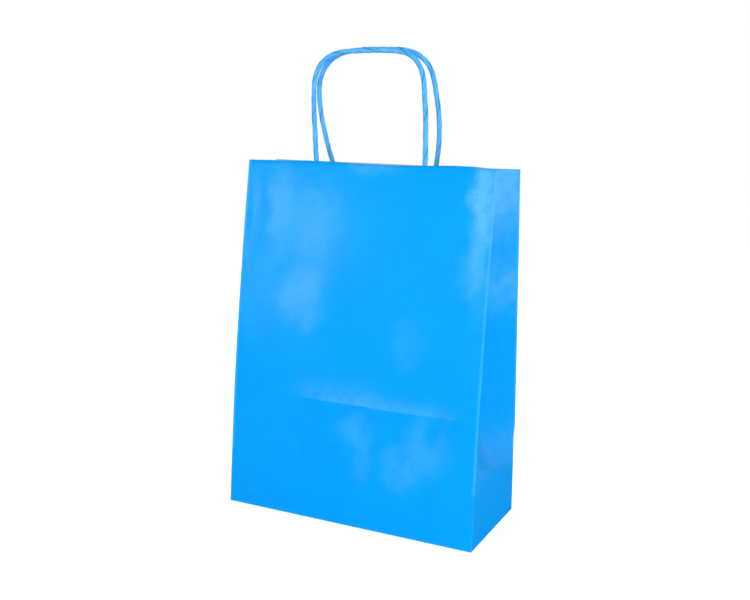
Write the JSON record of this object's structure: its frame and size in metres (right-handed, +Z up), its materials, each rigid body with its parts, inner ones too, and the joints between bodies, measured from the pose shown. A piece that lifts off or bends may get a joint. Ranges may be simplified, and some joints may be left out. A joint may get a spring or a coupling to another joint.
{
  "type": "paper carrier bag with twisted handles",
  "caption": "Open paper carrier bag with a flat block bottom, inward-folded side gussets and two looped handles of twisted paper cord glued inside the mouth.",
  "frame": {"origin": "centre of the base, on the surface the bag stands on", "axes": "+Z up through the open mouth; +X along the bag's width; -Y towards the front panel"},
  "size_m": [0.22, 0.1, 0.3808],
  "materials": {
    "blue_paper": "satin blue print outside, plain white inside",
    "blue_paper_cord": "blue rolled and twisted paper, matt to satin",
    "white_paper": "plain matt white"
  },
  "bodies": {
    "root": {"bag_body": "blue_paper", "front_handle_cord": "blue_paper_cord", "back_handle_cord": "blue_paper_cord", "front_patch_base": "white_paper", "front_patch_cover": "white_paper", "back_patch_base": "white_paper", "back_patch_cover": "white_paper"}
  },
  "joints": []
}
